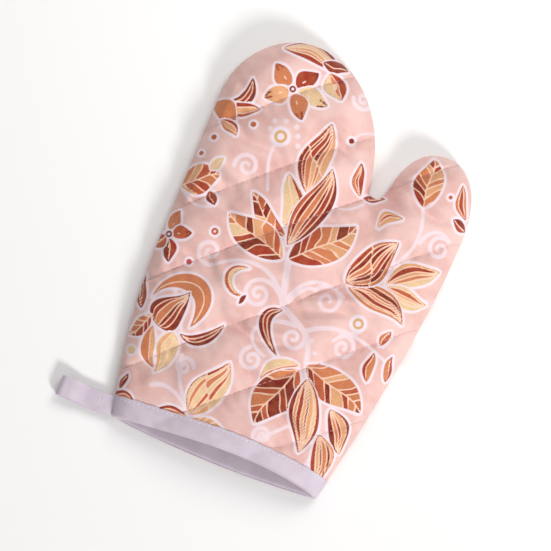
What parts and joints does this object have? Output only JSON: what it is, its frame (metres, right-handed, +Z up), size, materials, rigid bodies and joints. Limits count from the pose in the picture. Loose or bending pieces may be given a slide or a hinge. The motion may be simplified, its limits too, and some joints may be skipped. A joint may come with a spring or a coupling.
{
  "type": "oven mitt",
  "caption": "Quilted oven mitt with a leaf print, a separate thumb, a tape-bound cuff and a flat hanging loop, lying palm side up.",
  "frame": {"origin": "middle of the bounding box's foot, on the surface that the mitt lies on", "axes": "+Z up, out of the palm side; +Y from the cuff to the fingertips; +X towards the thumb"},
  "size_m": [0.2097, 0.282, 0.0267],
  "materials": {
    "printed_cotton": "matte woven cotton with a printed leaf pattern",
    "wadding": "matte needled fibre",
    "lining_cotton": "matte plain cotton",
    "binding_tape": "matte folded cotton tape",
    "sewing_thread": "satin polyester thread"
  },
  "bodies": {
    "hand": {"palm_cover_hand": "printed_cotton", "palm_wadding_hand": "wadding", "palm_lining_hand": "lining_cotton", "back_cover_hand": "printed_cotton", "back_wadding_hand": "wadding", "back_lining_hand": "lining_cotton", "palm_quilting_hand": "sewing_thread", "back_quilting_hand": "sewing_thread", "side_seam_hand": "sewing_thread", "cuff_binding": "binding_tape", "binding_stitching": "sewing_thread"},
    "fingers": {"palm_cover_fingers": "printed_cotton", "palm_wadding_fingers": "wadding", "palm_lining_fingers": "lining_cotton", "back_cover_fingers": "printed_cotton", "back_wadding_fingers": "wadding", "back_lining_fingers": "lining_cotton", "palm_quilting_fingers": "sewing_thread", "back_quilting_fingers": "sewing_thread", "side_seam_fingers": "sewing_thread"},
    "thumb": {"palm_cover_thumb": "printed_cotton", "palm_wadding_thumb": "wadding", "palm_lining_thumb": "lining_cotton", "back_cover_thumb": "printed_cotton", "back_wadding_thumb": "wadding", "back_lining_thumb": "lining_cotton", "palm_quilting_thumb": "sewing_thread", "back_quilting_thumb": "sewing_thread", "side_seam_thumb": "sewing_thread"},
    "loop": {"hanging_loop": "binding_tape", "loop_stitching": "sewing_thread"}
  },
  "joints": [
    {"name": "finger_fold", "type": "hinge", "parent": "hand", "child": "fingers", "pos_m": [-0.02315, 0.0627, 0.0268], "axis": [1, 0, 0], "range_deg": [0, 60]},
    {"name": "thumb_fold", "type": "hinge", "parent": "hand", "child": "thumb", "pos_m": [0.07419, 0.04457, 0.0238], "axis": [0.8468, -0.5319, 0], "range_deg": [0, 45]},
    {"name": "loop_swing", "type": "hinge", "parent": "hand", "child": "loop", "pos_m": [-0.07365, -0.13425, 0.0043], "axis": [0, 1, 0], "range_deg": [-90, 90]}
  ]
}
